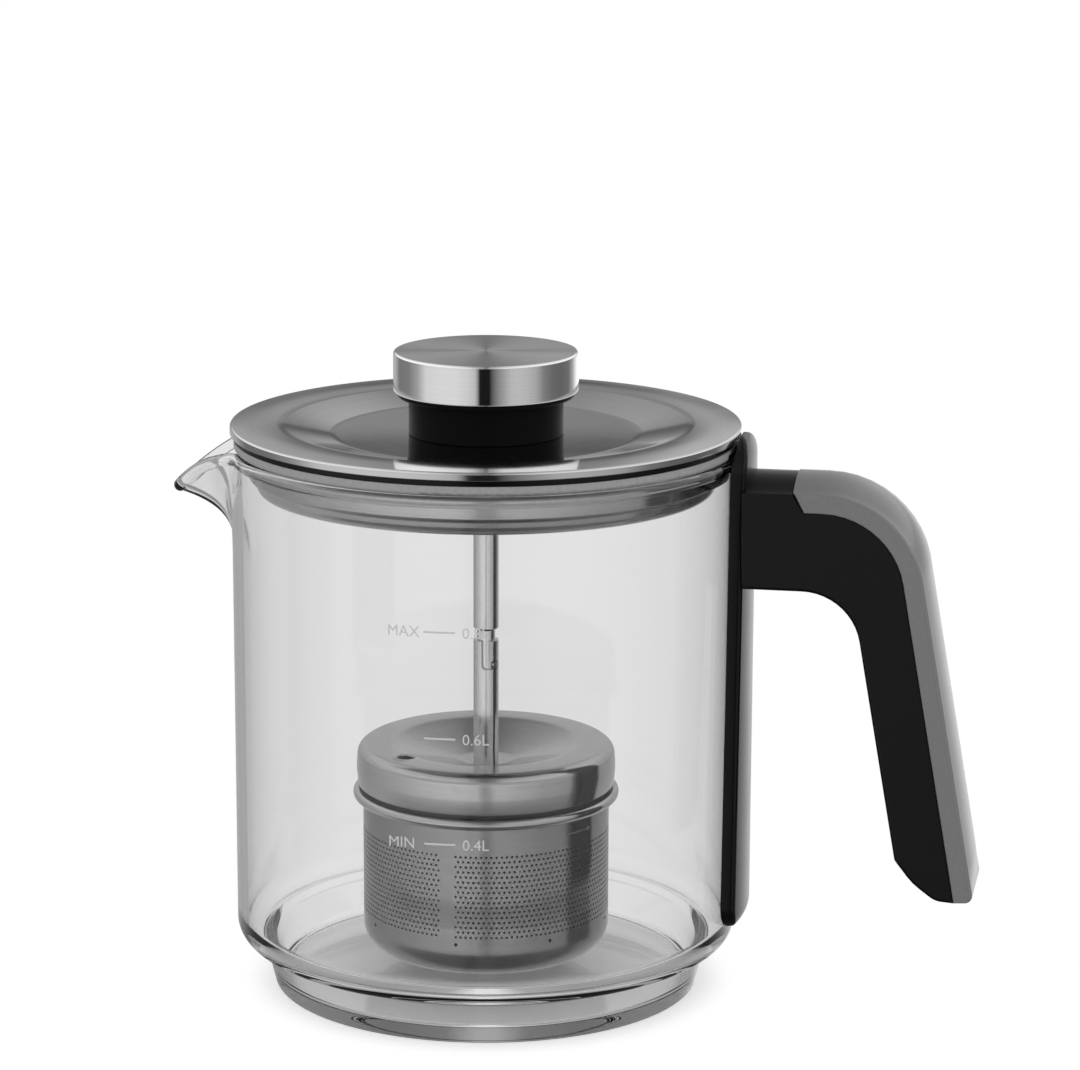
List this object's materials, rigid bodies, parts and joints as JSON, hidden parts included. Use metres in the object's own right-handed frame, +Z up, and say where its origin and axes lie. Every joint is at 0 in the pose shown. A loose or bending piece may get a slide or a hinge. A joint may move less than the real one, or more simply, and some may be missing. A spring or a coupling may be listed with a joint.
{
  "type": "automatic tea maker",
  "caption": "Glass tea jug with pouring lip, open side handle and dished steel lid, whose rod carries a perforated infuser basket on twist couplings.",
  "frame": {"origin": "centre of the foot's flat underside, on the jug's axis, on the surface it stands on", "axes": "+Z up along the jug's axis, +X towards the handle, -X towards the spout"},
  "size_m": [0.1782, 0.1108, 0.1407],
  "materials": {
    "clear_glass": "clear, fire polished",
    "black_plastic": "fine satin",
    "grey_cover": "satin grey",
    "brushed_steel": "brushed",
    "polished_steel": "mirror polished side, turned top",
    "grey_silicone": "soft satin",
    "clear_adhesive": "dull",
    "brass": "machined",
    "steel_hardware": "machined"
  },
  "bodies": {
    "jug": {"glass_jug": "clear_glass", "handle_strap": "black_plastic", "rim_clip": "black_plastic", "wall_pad": "clear_adhesive", "handle_grip": "black_plastic", "handle_cover": "grey_cover", "grip_screws": "steel_hardware", "grip_inserts": "brass"},
    "lid": {"lid_cover": "brushed_steel", "lid_carrier": "black_plastic", "lid_seal": "grey_silicone", "lid_plug": "brushed_steel", "lid_spacer": "steel_hardware", "knob_base": "black_plastic", "knob_cap": "polished_steel", "knob_insert": "brass", "upper_rod": "polished_steel", "coupling_pin": "steel_hardware", "rod_nut": "steel_hardware", "sealing_washer": "grey_silicone"},
    "infuser": {"stem_tube": "polished_steel", "infuser_lid": "brushed_steel", "stem_washer": "grey_silicone", "stem_nut": "steel_hardware"},
    "basket": {"basket_cup": "brushed_steel", "basket_ring": "brushed_steel", "basket_lugs": "steel_hardware"}
  },
  "joints": [
    {"name": "lid_lift", "type": "slide", "parent": "jug", "child": "lid", "axis": [0, 0, 1], "range_m": [0, 0.125]},
    {"name": "stem_twist", "type": "hinge", "parent": "lid", "child": "infuser", "pos_m": [0, 0, 0.0715], "axis": [0, 0, 1], "range_deg": [0, 55]},
    {"name": "basket_twist", "type": "hinge", "parent": "infuser", "child": "basket", "pos_m": [0, 0, 0.0475], "axis": [0, 0, 1], "range_deg": [0, 40]}
  ]
}
